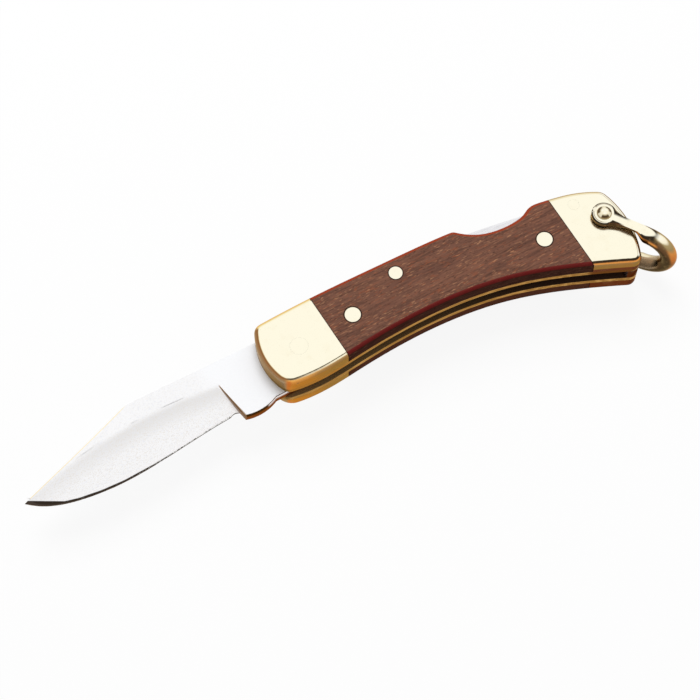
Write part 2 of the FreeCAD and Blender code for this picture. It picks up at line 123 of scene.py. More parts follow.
class Finish:                                # the nodes of one material or world
    def __init__(self, owner):
        self.owner = owner
        owner.use_nodes = True
        self.tree = owner.node_tree
        self.tree.nodes.clear()

    def node(self, kind, settings=None, inputs=None, out=0):
        made = self.tree.nodes.new(kind)
        for key, value in (settings or {}).items():
            if key == "stops":
                self.setStops(made.color_ramp, value)
            else:
                setattr(made, key, value)
        for key, value in (inputs or {}).items():
            if isinstance(value, Val):
                self.tree.links.new(value.socket, made.inputs[key])
            else:
                made.inputs[key].default_value = value
        return Val(self, made.outputs[out]) if made.outputs else None

    def setStops(self, ramp, stops):
        while len(ramp.elements) < len(stops):
            ramp.elements.new(1.0)
        for element, (place, colour) in zip(ramp.elements, stops):
            element.position = place
            element.color = (*colour, 1.0)

    def mix(self, share, first, second):
        settings = {"data_type": "RGBA", "blend_type": "MIX"}
        return self.node("ShaderNodeMix", settings, {0: share, 6: colour4(first), 7: colour4(second)}, 2)

    def step(self, value, low, high):        # 0 below low, 1 above high, soft between
        settings = {"interpolation_type": "SMOOTHSTEP"}
        return self.node("ShaderNodeMapRange", settings, {0: value, 1: low, 2: high})

    def fade(self, value, low, high):        # 1 below low, 0 above high
        return 1 - self.step(value, low, high)

    def band(self, value, start, end):       # 1 between two soft ends
        return self.step(value, *start) * self.fade(value, *end)

    def place(self, stretch=(1, 1, 1), turn=0.0):        # object coordinates in millimetres, stretched
        spot = self.node("ShaderNodeTexCoord", None, None, "Object")
        scale = tuple(side / mm for side in stretch)
        inputs = {"Vector": spot, "Rotation": (0.0, 0.0, math.radians(turn)), "Scale": scale}
        return self.node("ShaderNodeMapping", None, inputs)

    def noise(self, scale, detail=2.0, rough=0.5, stretch=(1, 1, 1), turn=0.0):
        inputs = {"Vector": self.place(stretch, turn), "Scale": scale, "Detail": detail, "Roughness": rough}
        return self.node("ShaderNodeTexNoise", None, inputs)

    def parts(self, vector):
        split = self.node("ShaderNodeSeparateXYZ", None, {0: vector}).socket.node
        return [Val(self, socket) for socket in split.outputs]

    def fromPoint(self, point):              # millimetres along, up and out from a point
        return [spot - side / mm for spot, side in zip(self.parts(self.place()), point)]

    def ramp(self, stops, value):
        return self.node("ShaderNodeValToRGB", {"stops": stops}, {0: value})

    def ramps(self, look, value):            # every list of stops in a look
        return {key: self.ramp(stops, value) for key, stops in look.items() if isinstance(stops, list)}

    def heightAt(self, points, along):       # how high a line through some points runs
        starts, heights = zip(*points)
        run = starts[-1] - starts[0]
        low = min(heights)
        rise = max(heights) - low
        stops = [((start - starts[0]) / run, ((height - low) / rise,) * 3) for start, height in points]
        return self.parts(self.ramp(stops, (along - starts[0]) / run))[0] * rise + low

    def normal(self):
        return self.parts(self.node("ShaderNodeTexCoord", None, None, "Normal"))

    def facing(self):                        # where the surface looks: east, north, and how far up
        east, north, rise = self.normal()
        level = (1.0002 - rise * rise) ** 0.5            # a little over 1, so never 0
        return east / level, north / level, rise

    def stain(self, colour, amount, spots):  # tints where a noise is strong
        return self.mix(self.step(amount, *spots["at"]) * spots["share"], colour, spots["colour"])

    def bump(self, height, strength, distance, normal=None):
        inputs = {"Strength": strength, "Distance": distance, "Height": height}
        if normal:
            inputs["Normal"] = normal
        return self.node("ShaderNodeBump", None, inputs)

    def surface(self, **inputs):
        shader = self.node("ShaderNodeBsdfPrincipled", None,
                           {key.replace("_", " "): value for key, value in inputs.items()})
        self.node("ShaderNodeOutputMaterial", None, {"Surface": shader})
        return self.owner


def colour4(value):
    return value if isinstance(value, Val) else (*value, 1.0)


def newFinish(name):
    return Finish(bpy.data.materials.new(name))


# In the looks, a list of stops is read by how upright the surface is, from wall (0) to flat (1).
# A pair is where something starts and where it is full, or with End, where it fades and where it is gone.
# Turn goes by the way a wall looks, Upright by how flat a surface lies, At mostly by a noise, and most
# others by millimetres from the pivot, the bail's pin or the mid-plane.

# Polished brass, with reflections and shade painted into its colour: cream faces under a painted dark rim
# line, painted amber reflection at the front of the belly, painted olive and brown behind
brassLook = {
    # amber, olive, rear, back, rump, nose and butt paint reflections and shade by how upright the surface is:
    # dark rim lines, cream highlight bands, amber, olive and brown walls
    "amber": [(0.0, (0.54, 0.195, 0.032)), (0.50, (0.74, 0.290, 0.050)), (0.82, (0.84, 0.42, 0.10)),
              (0.89, (0.10, 0.052, 0.022)), (0.978, (0.035, 0.023, 0.013)), (0.990, (0.97, 0.90, 0.66))],
    "olive": [(0.0, (0.27, 0.150, 0.050)), (0.50, (0.31, 0.170, 0.056)), (0.76, (0.44, 0.26, 0.100)),
              (0.84, (0.93, 0.85, 0.62)), (0.93, (0.93, 0.85, 0.62)), (0.955, (0.060, 0.040, 0.022)),
              (0.978, (0.060, 0.040, 0.022)), (0.990, (0.97, 0.90, 0.66))],
    "rear": [(0.0, (0.27, 0.155, 0.052)), (0.48, (0.30, 0.175, 0.058)), (0.58, (0.74, 0.31, 0.070)),
             (0.74, (0.66, 0.27, 0.065)), (0.81, (0.050, 0.027, 0.014)), (0.978, (0.030, 0.020, 0.012)),
             (0.990, (0.97, 0.90, 0.66))],
    "back": [(0.0, (0.42, 0.22, 0.060)), (0.5, (0.70, 0.40, 0.10)), (0.9, (0.88, 0.66, 0.28)),
             (0.98, (0.97, 0.90, 0.64))],
    "rump": [(0.0, (0.10, 0.062, 0.026)), (0.4, (0.22, 0.145, 0.060)), (0.8, (0.52, 0.40, 0.20)),
             (0.95, (0.90, 0.80, 0.54))],
    "nose": [(0.0, (0.22, 0.150, 0.090)), (0.30, (0.37, 0.265, 0.165)), (0.60, (0.33, 0.200, 0.100)),
             (0.82, (0.32, 0.150, 0.055)), (0.93, (0.22, 0.090, 0.030)), (0.965, (0.50, 0.32, 0.13)),
             (0.985, (0.97, 0.90, 0.66))],
    "butt": [(0.0, (0.020, 0.015, 0.010)), (0.30, (0.060, 0.046, 0.026)), (0.60, (0.17, 0.130, 0.075)),
             (0.82, (0.30, 0.240, 0.140)), (0.88, (1.0, 0.96, 0.82)), (0.95, (1.0, 0.96, 0.82)),
             (0.97, (0.32, 0.26, 0.17)), (0.985, (0.97, 0.90, 0.66))],
    # corner is a painted orange reflection; foot and far are painted shade
    "face": (1.0, 0.950, 0.765), "corner": (0.56, 0.155, 0.032), "foot": (0.170, 0.048, 0.026),
    "far": (0.160, 0.032, 0.014), "grazing": (0.93, 0.70, 0.45),
    "oliveFrom": (-2.0, 9.0), "streakReach": 8.0, "rearFrom": (20.0, 40.0),
    "footEnd": (2.9, 3.25), "farFrom": (2.0, 2.4), "faceFrom": (5.038, 5.047), "faceUpright": (0.988, 0.998),
    "backTurn": (-0.05, 0.25), "noseTurn": (0.48, 0.78), "buttTurn": (0.50, 0.85), "dullTurn": (-0.4, -0.1),
    "cornerTurn": ((0.36, 0.52), (0.56, 0.72)), "cornerBackTurn": (-0.3, 0.0), "cornerUpright": (0.55, 0.85),
    "cornerShare": 0.85, "dull": 0.85, "specular": 0.0, "rough": 0.12, "scuffRough": 0.10,
    "streaks": {"scale": 0.9, "detail": 3.0, "stretch": (0.35, 1.2, 1.2)},
    "scuffs": {"scale": 2.0, "detail": 4.0, "stretch": (0.4, 5.0, 5.0)},
    "stains": {
        "patina": {"noise": {"scale": 0.55, "detail": 4.0}, "at": (0.5, 0.8), "share": 0.08,
                   "colour": (0.72, 0.52, 0.24)},
        "specks": {"noise": {"scale": 5.0, "detail": 1.0}, "at": (0.74, 0.80), "share": 0.35,
                   "colour": (0.62, 0.48, 0.28)},
    },
}


def polishedBrass(name):
    look = brassLook
    made = newFinish(name)
    east, north, rise = made.facing()
    upright = abs(rise)
    along, _, out = made.fromPoint(pivot)
    level = abs(out)
    ramps = made.ramps(look, upright)
    # a noise wobbles where the painted amber reflection gives way to the painted olive
    streaks = made.noise(**look["streaks"])
    toOlive = made.step(along + streaks * look["streakReach"], *look["oliveFrom"])
    belly = made.mix(toOlive, ramps["amber"], ramps["olive"])
    # painted shade: a brown foot and a darker far wall on the rear bolster's belly, made less metallic so
    # that the brown shows
    onFoot = made.fade(level, *look["footEnd"])
    onFar = made.step(-out, *look["farFrom"])
    rear = made.mix(onFoot, ramps["rear"], look["foot"])
    rear = made.mix(onFar, rear, look["far"])
    behind = made.step(along, *look["rearFrom"])
    colour = made.mix(behind, belly, rear)
    # painted reflections: gold along the back edges, darker at the rump, tan with a dark line on the nose,
    # and a painted highlight band on the butt
    back = made.mix(behind, ramps["back"], ramps["rump"])
    colour = made.mix(made.step(north, *look["backTurn"]), colour, back)
    colour = made.mix(made.step(-east, *look["noseTurn"]), colour, ramps["nose"])
    colour = made.mix(made.step(east, *look["buttTurn"]) * behind, colour, ramps["butt"])
    # painted orange reflection on the walls that turn round the corners
    corner = made.band(abs(east), *look["cornerTurn"]) * made.fade(north, *look["cornerBackTurn"])
    corner = corner * made.fade(upright, *look["cornerUpright"])
    colour = made.mix(corner * look["cornerShare"], colour, look["corner"])
    flat = made.step(upright, *look["faceUpright"]).orMore(made.step(level, *look["faceFrom"]))
    colour = made.mix(flat, colour, look["face"])
    dull = onFoot.orMore(onFar) * behind * made.fade(north, *look["dullTurn"]) * (1 - flat)
    for spots in look["stains"].values():
        colour = made.stain(colour, made.noise(**spots["noise"]), spots)
    rough = look["rough"] + made.noise(**look["scuffs"]) * look["scuffRough"]
    return made.surface(Base_Color=colour, Metallic=1 - dull * look["dull"], Roughness=rough,
                        Specular_IOR_Level=look["specular"], Specular_Tint=colour4(look["grazing"]))


# Bail brass, with reflections and shade painted into its colour: a cream flat that ends in a point, painted
# dark and orange reflections beside it, painted olive round the bow
bailLook = {
    "under": [(0.0, (0.045, 0.022, 0.010)), (0.10, (0.42, 0.150, 0.036)), (0.30, (0.74, 0.30, 0.065)),
              (0.45, (0.26, 0.105, 0.032)), (0.58, (0.045, 0.027, 0.014)), (0.80, (0.20, 0.140, 0.060)),
              (0.90, (0.45, 0.34, 0.16)), (0.97, (0.95, 0.87, 0.62))],
    "over": [(0.0, (0.035, 0.022, 0.012)), (0.25, (0.10, 0.065, 0.030)), (0.55, (0.24, 0.165, 0.070)),
             (0.80, (0.42, 0.31, 0.14)), (0.92, (0.80, 0.68, 0.42)), (0.975, (0.99, 0.93, 0.72))],
    "bow": [(0.0, (0.20, 0.056, 0.016)), (0.22, (0.52, 0.150, 0.032)), (0.45, (0.62, 0.24, 0.055)),
            (0.60, (0.34, 0.235, 0.10)), (0.74, (0.40, 0.30, 0.14)), (0.82, (0.95, 0.87, 0.64)),
            (0.93, (1.0, 0.95, 0.78))],
    "inner": [(0.0, (0.14, 0.090, 0.046)), (0.25, (0.27, 0.190, 0.100)), (0.5, (0.20, 0.140, 0.074)),
              (0.8, (0.60, 0.50, 0.30)), (0.95, (0.95, 0.87, 0.62))],
    "side": [(0.0, (0.035, 0.020, 0.012)), (0.25, (0.115, 0.060, 0.032)), (0.50, (0.050, 0.028, 0.016)),
             (0.70, (0.080, 0.046, 0.024)), (0.90, (0.55, 0.40, 0.20))],
    "left": [(0.0, (0.30, 0.150, 0.045)), (0.30, (0.80, 0.56, 0.24)), (0.55, (0.22, 0.125, 0.050)),
             (0.75, (0.95, 0.82, 0.55))],
    "inside": [(0.0, (0.085, 0.040, 0.016)), (0.40, (0.13, 0.066, 0.028)), (0.70, (0.20, 0.115, 0.050)),
               (0.95, (0.40, 0.28, 0.14))],
    # outline, shade and underSide are painted shade; shelter is the painted olive of the far leg
    "outline": (0.16, 0.085, 0.035), "shade": (0.030, 0.020, 0.012), "underSide": (0.060, 0.034, 0.018),
    "shelter": (0.40, 0.275, 0.160), "grazing": (0.95, 0.80, 0.60),
    "lean": -54.0, "earRadius": 2.25, "halfWidth": 0.9,
    "underFrom": (6.0, 7.2), "nearFrom": (-1.0, 1.0), "leftTurn": (0.15, 0.75), "leftEnd": (1.5, 2.5),
    "overTurn": (-0.25, 0.25), "bowTurn": (0.40, 0.80),
    "insideTurn": (0.0, 0.4), "insideFrom": (10.4, 11.3), "insideEndTurn": (0.45, 0.75),
    "inwardFrom": (0.2, 1.0), "nearLegFrom": (1.0, 2.0), "nearLegEnd": (6.0, 7.5),
    "farLegFrom": (0.0, 1.0), "farLegEnd": (10.5, 12.0), "shelterTurn": (0.15, 0.6), "dull": 0.85,
    "rolledUnder": ((-0.60, -0.45), (0.0, 0.28)), "rolledFrom": (7.0, 8.5), "rolledTurn": (0.35, 0.65),
    "rolledEndTurn": (0.3, 0.6), "rolledShare": 0.9,
    "flat": (0.56, 0.98), "point": (5.6, 10.6), "ear": (3.0, 4.4), "lowerHalf": (-0.3, 0.3),
    "lowerEnd": (5.5, 7.5), "lowerLift": 0.3, "legEnd": (9.6, 10.8), "faceFrom": (-0.02, 0.05),
    "dimFrom": (-0.34, -0.22), "litTurn": (0.0, 0.5), "litEnd": (6.5, 8.0),
    "rimUpright": (0.5, 0.7), "rimWidth": (0.30, 0.52), "rimGrows": (0.4, 1.6), "rimSoft": (-0.06, 0.04),
    "upperRim": (0.2, 0.8), "upperRimEnd": (3.6, 5.0), "lowerRim": (0.2, 0.7), "lowerRimWidth": (0.20, 0.30),
    "ring": ((0.30, 0.38), (0.42, 0.54)), "ringEnd": (0.0, 1.4), "ringUpright": (0.9, 0.95),
    "ringShare": 0.75,
    "wear": {"noise": {"scale": 1.6, "detail": 4.0}, "at": (0.5, 0.8), "share": 0.15,
             "colour": (0.55, 0.36, 0.14)},
    "rough": 0.14, "wearRough": 0.10,
}


def bailBrass(name):
    look = bailLook
    made = newFinish(name)
    east, north, rise = made.facing()
    upright = abs(rise)
    across, up, _ = made.fromPoint(bailPin)
    out = made.fromPoint(pivot)[2]
    cosine = math.cos(math.radians(look["lean"]))
    sine = math.sin(math.radians(look["lean"]))
    ahead = east * cosine + north * sine
    beside = north * cosine - east * sine
    reach = across * cosine + up * sine
    offside = up * cosine - across * sine
    ramps = made.ramps(look, upright)

    # the sides of the wire, then the bow and what faces the handle, all painted reflections and shade; the
    # far leg's painted olive is made less metallic
    low = made.mix(made.step(reach, *look["underFrom"]), ramps["side"], ramps["under"])
    low = made.mix(made.step(out, *look["nearFrom"]), ramps["inner"], low)
    atLeft = made.step(-ahead, *look["leftTurn"]) * made.fade(reach, *look["leftEnd"])
    low = made.mix(atLeft, low, ramps["left"])
    colour = made.mix(made.step(beside, *look["overTurn"]), low, ramps["over"])
    colour = made.mix(made.step(ahead, *look["bowTurn"]), colour, ramps["bow"])
    inside = made.step(-beside, *look["insideTurn"]) * made.step(reach, *look["insideFrom"])
    colour = made.mix(inside * made.fade(ahead, *look["insideEndTurn"]), colour, ramps["inside"])
    inward = made.step(-(rise * out), *look["inwardFrom"])
    nearLeg = made.step(out, *look["nearLegFrom"]) * made.fade(reach, *look["nearLegEnd"])
    shelter = made.step(-out, *look["farLegFrom"]) * made.fade(reach, *look["farLegEnd"]) * inward
    inner = made.mix(shelter * made.fade(beside, *look["shelterTurn"]), ramps["inner"], look["shelter"])
    colour = made.mix(inward, colour, made.mix(nearLeg, inner, look["underSide"]))
    # painted shade: a dark band where the wire turns under at the bow
    rolled = made.band(rise, *look["rolledUnder"]) * made.step(reach, *look["rolledFrom"])
    rolled = rolled * made.step(-beside, *look["rolledTurn"]) * made.fade(ahead, *look["rolledEndTurn"])
    colour = made.mix(rolled * look["rolledShare"], colour, look["shade"])

    # the cream flat and the painted dark reflection line beside it, which the lit upper side goes without
    least, most = look["flat"]
    edge = least + made.step(reach, *look["point"]) * (most - least)
    lower = made.fade(offside, *look["lowerHalf"]) * made.fade(reach, *look["lowerEnd"])
    edge = edge + lower.orMore(made.fade(reach, *look["ear"])) * look["lowerLift"]
    onLeg = made.fade(reach, *look["legEnd"]) * (1 - inward)
    lit = made.step(beside, *look["litTurn"]) * made.fade(reach, *look["litEnd"])
    colour = made.mix(made.step(upright - edge, *look["dimFrom"]) * onLeg * (1 - lit), colour, look["shade"])
    colour = made.mix(made.step(upright - edge, *look["faceFrom"]) * onLeg, colour, brassLook["face"])

    # the rim of the ear, by its distance from the outline: painted shade along its upper and lower rim, and a
    # painted dark ring inside it
    inEar = look["earRadius"] - (reach ** 2 + offside ** 2) ** 0.5
    rim = inEar.orMore(look["halfWidth"] - abs(offside))
    onRim = made.step(upright, *look["rimUpright"])
    upper = made.step(offside, *look["upperRim"]) * made.fade(reach, *look["upperRimEnd"]) * onRim
    least, most = look["rimWidth"]
    width = least + made.step(reach, *look["rimGrows"]) * (most - least)
    colour = made.mix(upper * made.fade(rim - width, *look["rimSoft"]), colour, look["shade"])
    lower = made.step(-offside, *look["lowerRim"]) * made.fade(reach, *look["ear"]) * onRim
    colour = made.mix(lower * made.fade(rim, *look["lowerRimWidth"]), colour, look["shade"])
    ring = made.band(rim, *look["ring"]) * made.fade(reach, *look["ringEnd"])
    ring = ring * made.step(upright, *look["ringUpright"])
    colour = made.mix(ring * look["ringShare"], colour, look["outline"])
    wear = made.noise(**look["wear"]["noise"])
    colour = made.stain(colour, wear, look["wear"])
    return made.surface(Base_Color=colour, Metallic=1 - shelter * look["dull"],
                        Roughness=look["rough"] + wear * look["wearRough"],
                        Specular_Tint=colour4(look["grazing"]))


# Domed rivet head, with its reflection painted into its colour: a light crown in a dark ring that is broken
# into three crescents, and painted glints in the gaps
domeLook = {
    "rings": [(0.0, (0.10, 0.05, 0.02)), (0.30, (0.45, 0.27, 0.09)), (0.50, (0.86, 0.68, 0.36)),
              (0.62, (0.16, 0.10, 0.045)), (0.80, (0.055, 0.034, 0.018)), (0.88, (0.66, 0.56, 0.36)),
              (0.93, (1.0, 0.96, 0.80))],
    "glint": (0.98, 0.90, 0.68), "glintShare": 0.85, "crescentTurn": 7.0, "gapEnd": (-0.75, -0.1),
    "gapUpright": (0.55, 0.66), "rough": 0.42, "wearRough": 0.06,
    "wear": {"noise": {"scale": 3.0, "detail": 3.0}, "at": (0.5, 0.8), "share": 0.12,
             "colour": (0.70, 0.50, 0.22)},
}


def domeBrass(name):
    look = domeLook
    made = newFinish(name)
    east, north, rise = made.facing()
    upright = abs(rise)
    turn = math.radians(look["crescentTurn"])
    toCrescent = east * math.cos(turn) + north * math.sin(turn)
    thrice = toCrescent ** 3 * 4 - toCrescent * 3        # the cosine of three times the angle
    # painted reflection: glints in the gaps of the painted dark ring
    gaps = made.fade(thrice, *look["gapEnd"]) * made.step(upright, *look["gapUpright"])
    colour = made.mix(gaps * look["glintShare"], made.ramp(look["rings"], upright), look["glint"])
    wear = made.noise(**look["wear"]["noise"])
    colour = made.stain(colour, wear, look["wear"])
    return made.surface(Base_Color=colour, Metallic=1.0, Roughness=look["rough"] + wear * look["wearRough"])


# Liner brass: amber in front and brown behind and on the nose, all painted reflections; gold along the wood;
# painted shade inside the slot, which is also dull
linerLook = {
    "front": (0.40, 0.165, 0.036), "nose": (0.115, 0.078, 0.040), "edge": (0.30, 0.155, 0.052),
    "worn": (0.56, 0.33, 0.12), "rear": (0.112, 0.032, 0.019), "slot": (0.26, 0.160, 0.066),
    "slotRear": (0.060, 0.028, 0.018), "nearFrom": (0.0, 0.3), "wornAt": (0.42, 0.68),
    "frontEnd": (3.0, 12.0), "frontShare": 0.85, "rearFrom": (52.0, 53.5), "noseTurn": (0.35, 0.75),
    "slotUpright": (0.35, 0.8),
    "slotRearFrom": (0.0, 50.0), "dull": 0.85, "rough": 0.22, "slotRough": 0.30, "rubRough": 0.08,
    "specular": 0.1, "rub": {"scale": 1.0, "detail": 4.0, "stretch": (0.14, 2.4, 2.4)},
}


def linerBrass(name):
    look = linerLook
    made = newFinish(name)
    east, _, rise = made.facing()
    along, _, out = made.fromPoint(pivot)
    near = made.step(out, *look["nearFrom"])
    rub = made.noise(**look["rub"])
    colour = made.mix(made.step(rub, *look["wornAt"]), look["edge"], look["worn"])
    # painted reflections: amber in front, brown behind and on the nose
    colour = made.mix(made.fade(along, *look["frontEnd"]) * near * look["frontShare"], colour, look["front"])
    colour = made.mix(made.step(along, *look["rearFrom"]) * near, colour, look["rear"])
    colour = made.mix(made.step(-east, *look["noseTurn"]), colour, look["nose"])
    # painted shade inside the slot, darker towards the rear, and less metallic there
    inSlot = made.step(abs(rise), *look["slotUpright"])
    slot = made.mix(made.step(along, *look["slotRearFrom"]), look["slot"], look["slotRear"])
    colour = made.mix(inSlot, colour, slot)
    rough = look["rough"] + inSlot * look["slotRough"] + rub * look["rubRough"]
    return made.surface(Base_Color=colour, Metallic=1 - inSlot * look["dull"], Roughness=rough,
                        Specular_IOR_Level=look["specular"], Specular_Tint=colour4(brassLook["grazing"]))


# Rosewood: mauve brown with short tan flecks along the handle, redder where the edges are rolled: painted
# shade from crimson to near black on the walls, and a painted red-orange highlight on the back edge
woodLook = {
    # crimson, dark and far are painted shade on the walls, backEdge a painted highlight on the back edge,
    # spine a darker back wall
    "mid": (0.148, 0.068, 0.047), "pale": (0.200, 0.090, 0.058), "crimson": (0.150, 0.012, 0.012),
    "dark": (0.034, 0.010, 0.007), "far": (0.105, 0.032, 0.016), "backEdge": (0.28, 0.042, 0.015),
    "spine": (0.105, 0.036, 0.020), "seam": (0.028, 0.012, 0.008), "turn": 2.0,
    "grain": {
        "broad": {"scale": 1.0, "detail": 4.0, "rough": 0.6, "stretch": (0.07, 0.55, 0.55)},
        "fibre": {"scale": 1.4, "detail": 4.0, "rough": 0.65, "stretch": (0.16, 2.2, 2.2)},
        "patches": {"scale": 0.7, "detail": 2.0, "stretch": (0.25, 0.6, 0.6)},
        "flecks": {"scale": 1.4, "detail": 1.0, "stretch": (0.65, 3.4, 3.4)},
        "rust": {"scale": 1.2, "detail": 1.0, "stretch": (0.60, 2.6, 2.6)},
        "pores": {"scale": 1.5, "detail": 1.0, "stretch": (0.80, 3.8, 3.8)},
    },
    "marks": {                               # share everywhere, and how much more where they gather
        "fibre": {"at": (0.42, 0.66), "share": 0.62, "gathered": 0.0, "colour": (0.072, 0.034, 0.024)},
        "rust": {"at": (0.54, 0.70), "share": 0.25, "gathered": 0.35, "colour": (0.27, 0.082, 0.038)},
        "flecks": {"at": (0.60, 0.72), "share": 0.35, "gathered": 0.55, "colour": (0.40, 0.195, 0.105)},
        "pores": {"at": (0.60, 0.74), "share": 0.65, "gathered": 0.0, "colour": (0.036, 0.017, 0.013)},
    },
    "paleAt": (0.30, 0.70), "gatherAt": (0.35, 0.65), "rollUpright": (0.955, 0.994), "nearFrom": (-0.2, 0.2),
    "crimsonUpright": (0.40, 0.66), "backEdgeUpright": (0.20, 0.50), "backTurn": (0.0, 0.3),
    "wallGrainAt": (0.35, 0.70), "wallGrain": 0.45, "wallUpright": (0.3, 0.6), "rollShare": (0.85, 1.0),
    "rivetSeam": (0.10, 0.28), "jointSeam": (0.04, 0.22), "fibreHeight": 0.5, "poreDepthAt": (0.62, 0.74),
    "bumpStrength": 0.35, "bumpDepth": 0.02, "rough": 0.40, "poreRough": 0.16, "specular": 0.0,
    "coat": 0.12, "coatUpright": (0.8, 0.97), "coatRough": 0.3,
    "rivets": ("left_front_rivet", "left_rear_rivet", "rocker_pin"),
    "joints": ({"at": 6.35, "lean": 4.1}, {"at": 52.9, "lean": 2.3}),
}


def rosewood(name):
    look = woodLook
    made = newFinish(name)
    grain = {key: made.noise(**pattern, turn=look["turn"]) for key, pattern in look["grain"].items()}
    colour = made.mix(made.step(grain["broad"], *look["paleAt"]), look["mid"], look["pale"])
    gather = made.step(grain["patches"], *look["gatherAt"])
    for key, marks in look["marks"].items():
        share = marks["share"] + gather * marks["gathered"]
        colour = made.mix(made.step(grain[key], *marks["at"]) * share, colour, marks["colour"])

    # walls and rolled edges: painted shade from crimson to near black, a painted red-orange highlight on the
    # back edge, a darker back wall, and the grain partly showing on the walls
    _, north, rise = made.facing()
    upright = abs(rise)
    along, up, out = made.fromPoint(pivot)
    wall = made.mix(made.step(out, *look["nearFrom"]), look["far"], look["dark"])
    red = made.mix(made.step(upright, *look["crimsonUpright"]), wall, look["crimson"])
    spine = made.mix(made.step(upright, *look["backEdgeUpright"]), look["spine"], look["backEdge"])
    red = made.mix(made.step(north, *look["backTurn"]), red, spine)
    wallGrain = made.step(grain["fibre"], *look["wallGrainAt"]) * look["wallGrain"]
    red = made.mix(wallGrain * made.fade(upright, *look["wallUpright"]), red, colour)
    least, most = look["rollShare"]
    rolled = made.fade(upright, *look["rollUpright"]) * (least + grain["fibre"] * (most - least))
    colour = made.mix(rolled, colour, red)

    # dark seams round the rivets and at the bolsters
    for node in look["rivets"]:
        low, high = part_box(node)
        centre = ((low + high) / 2 - pivot) / mm
        radius = (high.x - low.x) / 2 / mm
        away = ((along - centre.x) ** 2 + (up - centre.y) ** 2) ** 0.5
        colour = made.mix(made.fade(away - radius, *look["rivetSeam"]), colour, look["seam"])
    for joint in look["joints"]:
        gap = abs(along + up * math.tan(math.radians(joint["lean"])) - joint["at"])
        colour = made.mix(made.fade(gap, *look["jointSeam"]), colour, look["seam"])
    height = grain["fibre"] * look["fibreHeight"] - made.step(grain["pores"], *look["poreDepthAt"])
    return made.surface(Base_Color=colour, Roughness=look["rough"] + grain["pores"] * look["poreRough"],
                        Normal=made.bump(height, look["bumpStrength"], look["bumpDepth"] * mm),
                        Specular_IOR_Level=look["specular"], Coat_Roughness=look["coatRough"],
                        Coat_Weight=made.step(upright, *look["coatUpright"]) * look["coat"])


# Blade steel: bright satin flats, a painted grey shade band under the grind line, brown walls and a dark
# wedge at the point, both painted reflections. The two lines are points along and up from the pivot.
bladeLook = {
    # band is painted shade; ricasso is brighter from its own polish and from painted light against the
    # bolster's shadow; wall, kick, kickTop, wedge and plunge are painted reflection and shade; glint and clip
    # are painted highlights
    "flat": (0.915, 0.918, 0.930), "ricasso": (0.955, 0.968, 0.990), "band": (0.70, 0.695, 0.695),
    "wall": (0.42, 0.29, 0.17), "kick": (0.25, 0.070, 0.020), "kickTop": (0.020, 0.012, 0.008),
    "glint": (0.97, 0.97, 0.98), "clip": (0.96, 0.76, 0.36), "spine": (0.80, 0.795, 0.79),
    "wedge": (0.035, 0.025, 0.018), "plunge": (0.30, 0.185, 0.105), "grazing": (0.80, 0.55, 0.40),
    "grindLine": [(-54.0, -2.0), (-47.8, -0.30), (-44.95, 0.33), (-42.34, 0.875), (-36.96, 1.67),
                  (-34.73, 1.87), (-30.91, 2.20), (-27.21, 2.30), (-22.02, 2.23), (-19.49, 1.94),
                  (-15.0, 1.65)],
    "edgeLine": [(-54.0, -2.0), (-52.95, -2.93), (-50.76, -4.29), (-48.93, -5.06), (-45.19, -6.0),
                 (-41.09, -6.51), (-37.0, -6.63), (-30.99, -6.25), (-24.79, -5.50), (-15.82, -4.55)],
    "tip": (-53.8, -2.2), "plungeTop": (-15.1, 1.65), "plungeLean": 0.2196,
    "plungeSoft": (-0.45, -0.05), "groundFrom": (-0.2, 0.8), "bandEnd": (0.9, 4.6),
    "bandFull": (-50.0, -30.0), "bandShare": (0.33, 0.60), "plainFrom": (-3.5, 1.0), "plainShare": 0.75,
    "glintFrom": (-9.3, -8.7), "kickRim": (0.80, 0.95), "kickTopFrom": (-0.2, 0.4),
    "bellyTurn": (0.35, 0.75), "backTurn": (0.1, 0.3), "lineWidth": (0.5, 0.9), "steepUpright": (0.82, 0.95),
    "clipSlope": 19.14, "clipLength": 24.24, "clipHollow": 0.15, "clipWidth": (0.10, 0.20),
    "clipEnd": (-32.5, -30.5), "clipUpright": (0.5, 0.8), "clipShare": 0.7,
    "wedgeSlope": 28.0, "wedgeWidth": (0.44, 0.52), "wedgeEnd": (-46.0, -44.0),
    "honedWidth": (0.10, 0.48), "honedWiden": (17.0, 46.0), "honedSoft": (-0.10, 0.02),
    "honedEnd": (-17.2, -16.6), "heel": (-36.0, -17.0), "heelNicks": 0.30, "nickAt": (0.62, 0.74),
    "plungeShift": 0.08, "plungeWiden": 0.030, "plungeWidth": (0.0, 0.12), "plungeFrom": (0.0, 0.6),
    "plungeShare": 0.8, "metal": 0.28, "ricassoPolish": 0.4, "rough": 0.42, "sandRough": 0.10,
    "groundRough": 0.06, "wedgeRough": -0.15, "ease": 0.80, "easeUpright": (0.90, 0.955),
    "scratchHeight": 0.5, "bumpStrength": 0.10, "bumpDepth": 0.01,
    "sand": {"noise": {"scale": 5.2, "rough": 0.75}, "at": (0.46, 0.72), "share": 0.42, "ground": 0.55,
             "colour": (0.76, 0.725, 0.68)},
    "tint": {"noise": {"scale": 2.4}, "at": (0.50, 0.78), "share": 0.70, "colour": (0.80, 0.81, 0.85)},
    "scratches": {"scale": 2.2, "detail": 3.0, "rough": 0.7, "stretch": (7.0, 0.5, 2.0)},
    "nicks": {"scale": 2.2, "detail": 3.0, "rough": 0.7},
}


def overWedge(along, up):                    # how far a spot lies over the line of the point's wedge
    tipX, tipY = bladeLook["tip"]
    slope = math.radians(bladeLook["wedgeSlope"])
    return (along - tipX) * math.sin(slope) + (up - tipY) * math.cos(slope)


